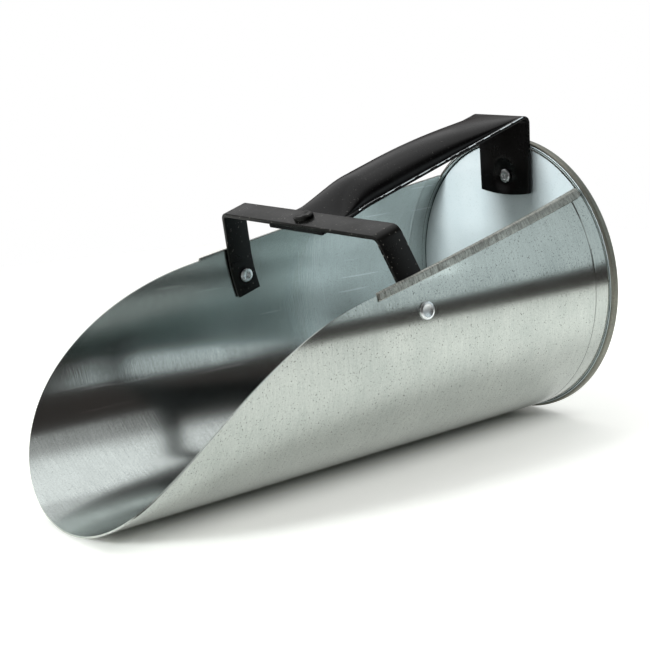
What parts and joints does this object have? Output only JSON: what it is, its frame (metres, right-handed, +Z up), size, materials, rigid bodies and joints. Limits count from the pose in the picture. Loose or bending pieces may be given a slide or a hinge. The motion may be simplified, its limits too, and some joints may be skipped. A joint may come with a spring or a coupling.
{
  "type": "feed scoop",
  "caption": "Round-bodied galvanised feed scoop with a long slanting mouth, seamed back plate, riveted strap bridge and half-round strip handle.",
  "frame": {"origin": "middle of the base of the bounding box", "axes": "+Z up as the scoop lies on its back with the handle on top; the mouth faces -Y and the back plate +Y; X runs across, and the scoop is symmetric about X = 0"},
  "size_m": [0.1408, 0.261, 0.1469],
  "materials": {
    "galvanised": "dull galvanised sheet steel, worn and spotted",
    "black_paint": "glossy black paint over steel, chipped at the edges",
    "zinc": "bright zinc-coated rivet steel"
  },
  "bodies": {
    "root": {"shell": "galvanised", "back_plate": "galvanised", "bridge": "black_paint", "handle": "black_paint", "left_bridge_rivet": "zinc", "right_bridge_rivet": "zinc", "back_plate_rivet": "zinc", "tongue_rivet": "black_paint"}
  },
  "joints": []
}
